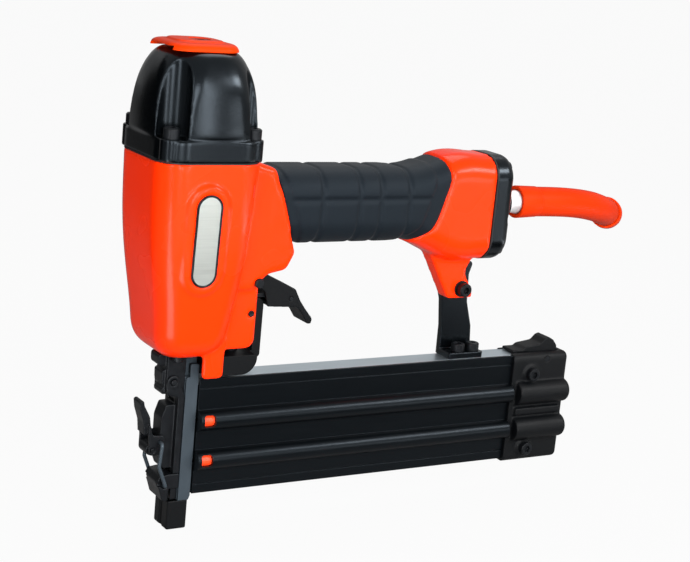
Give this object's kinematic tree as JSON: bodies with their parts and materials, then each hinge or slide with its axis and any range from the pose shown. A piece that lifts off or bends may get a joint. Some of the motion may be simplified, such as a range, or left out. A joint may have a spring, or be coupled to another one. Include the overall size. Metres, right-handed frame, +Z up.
{
  "type": "pneumatic brad nailer",
  "caption": "Air-driven brad nailer with cylinder, rubber-sleeved handle, trigger, sprung contact tip, hinged nose door with over-centre latch, sliding magazine and whip hose",
  "frame": {"origin": "on the driver's axis, at the underside of the contact tip where a brad leaves the tool", "axes": "+X back along the handle and magazine towards the hose, +Y away from the badge side, +Z up along the driver and cylinder"},
  "size_m": [0.3313, 0.0906, 0.2326],
  "materials": {
    "orange_paint": "gloss",
    "orange_plastic": "gloss",
    "orange_hose": "satin",
    "black_paint": "satin",
    "black_anodised": "satin",
    "black_plastic": "matte",
    "red_plastic": "gloss",
    "grip_rubber": "matte",
    "seal_rubber": "matte",
    "black_steel": "satin",
    "grey_steel": "brushed",
    "bright_steel": "bright",
    "bright_aluminium": "satin",
    "brass": "satin"
  },
  "bodies": {
    "tool": {"housing": "orange_paint", "badge_plate": "bright_aluminium", "grip_sleeve": "grip_rubber", "cylinder_sleeve": "bright_aluminium", "cylinder_o_rings": "seal_rubber", "bumper": "seal_rubber", "cap_gasket": "seal_rubber", "cylinder_cap": "black_paint", "cap_screws": "black_steel", "deflector_screw": "black_steel", "head_valve_spring": "bright_steel", "driver_guide": "grey_steel", "safety_spring": "bright_steel", "hinge_block": "black_steel", "nose_screws": "black_steel", "hinge_pin": "bright_steel", "hook_block": "black_steel", "trigger_pin": "black_steel", "trigger_valve_body": "black_plastic", "trigger_valve_o_rings": "seal_rubber", "trigger_valve_spring": "bright_steel", "magazine_rail": "bright_aluminium", "support_bracket": "black_paint", "bracket_bolt": "black_steel", "bracket_washer": "black_steel", "bracket_nut": "black_steel", "bracket_screws": "black_steel", "rear_gasket": "seal_rubber", "rear_end_cap": "black_paint", "rear_screws": "black_steel", "air_plug": "bright_steel", "hose": "orange_hose", "hose_ferrule": "brass", "hose_nipple": "brass"},
    "driver": {"driver_piston": "bright_aluminium", "piston_o_ring": "seal_rubber", "driver_blade": "bright_steel"},
    "head_valve": {"head_valve_piston": "black_plastic", "head_valve_o_rings": "seal_rubber"},
    "deflector": {"exhaust_deflector": "orange_plastic"},
    "safety": {"contact_tip": "black_plastic", "contact_arm": "grey_steel", "safety_yoke": "black_plastic"},
    "door": {"nose_door": "black_steel", "latch_pin": "bright_steel"},
    "lever": {"latch_lever": "black_steel"},
    "bail": {"latch_bail": "bright_steel"},
    "trigger_unit": {"trigger": "black_plastic", "trip_pin": "bright_steel"},
    "trip": {"trip_lever": "bright_steel"},
    "stem": {"trigger_valve_stem": "brass"},
    "magazine": {"magazine_slide": "black_anodised", "magazine_end_cap": "black_plastic", "end_cap_screws": "black_steel", "magazine_latch_pin": "bright_steel", "magazine_latch_spring": "bright_steel", "pusher_springs": "bright_steel"},
    "pusher_unit": {"pusher": "bright_steel", "pusher_followers": "red_plastic"},
    "rocker": {"magazine_latch": "black_plastic"}
  },
  "joints": [
    {"name": "driver_stroke", "type": "slide", "parent": "tool", "child": "driver", "axis": [0, 0, -1], "range_m": [0, 0.0566]},
    {"name": "head_valve_lift", "type": "slide", "parent": "tool", "child": "head_valve", "axis": [0, 0, 1], "range_m": [0, 0.004], "stiffness_N_per_m": 300, "springref_m": -0.006, "deforming": ["head_valve_spring"]},
    {"name": "deflector_turn", "type": "hinge", "parent": "tool", "child": "deflector", "pos_m": [0, 0, 0.2282], "axis": [0, 0, 1], "continuous": true},
    {"name": "contact_press", "type": "slide", "parent": "tool", "child": "safety", "axis": [0, 0, 1], "range_m": [0, 0.006], "stiffness_N_per_m": 400, "springref_m": -0.008, "deforming": ["safety_spring"]},
    {"name": "door_hinge", "type": "hinge", "parent": "tool", "child": "door", "pos_m": [-0.0038, 0, 0.0737], "axis": [0, 1, 0], "range_deg": [0, 50]},
    {"name": "lever_hinge", "type": "hinge", "parent": "door", "child": "lever", "pos_m": [-0.0115, 0, 0.0405], "axis": [0, -1, 0], "range_deg": [0, 110]},
    {"name": "bail_hinge", "type": "hinge", "parent": "lever", "child": "bail", "pos_m": [-0.008, 0, 0.0442], "axis": [0, -1, 0], "range_deg": [-110, 0]},
    {"name": "trigger_pull", "type": "hinge", "parent": "tool", "child": "trigger_unit", "pos_m": [0.0315, 0, 0.1225], "axis": [0, -1, 0], "range_deg": [0, 10], "stiffness_Nm_per_rad": 0.03, "springref_deg": -15.01},
    {"name": "trip_swing", "type": "hinge", "parent": "trigger_unit", "child": "trip", "pos_m": [0.0551, 0, 0.1114], "axis": [0, 1, 0], "range_deg": [0, 20.5]},
    {"name": "stem_lift", "type": "slide", "parent": "tool", "child": "stem", "axis": [0, 0, 1], "range_m": [0, 0.0017], "deforming": ["trigger_valve_spring"]},
    {"name": "magazine_draw", "type": "slide", "parent": "tool", "child": "magazine", "axis": [1, 0, 0], "range_m": [0, 0.125]},
    {"name": "pusher_slide", "type": "slide", "parent": "magazine", "child": "pusher_unit", "axis": [1, 0, 0], "range_m": [0, 0.12], "stiffness_N_per_m": 25, "springref_m": -0.05, "deforming": ["pusher_springs"]},
    {"name": "rocker_press", "type": "hinge", "parent": "magazine", "child": "rocker", "pos_m": [0.214, 0, 0.072], "axis": [0, 1, 0], "range_deg": [0, 6], "stiffness_Nm_per_rad": 0.05, "springref_deg": -8.02, "deforming": ["magazine_latch_spring"]}
  ],
  "couplings": [
    {"joint": "bail_hinge", "follows": "lever_hinge", "ratio": -1},
    {"joint": "trip_swing", "follows": "contact_press", "rad_per_m": 59.6},
    {"joint": "trigger_pull", "follows": "stem_lift", "rad_per_m": 102.66}
  ]
}
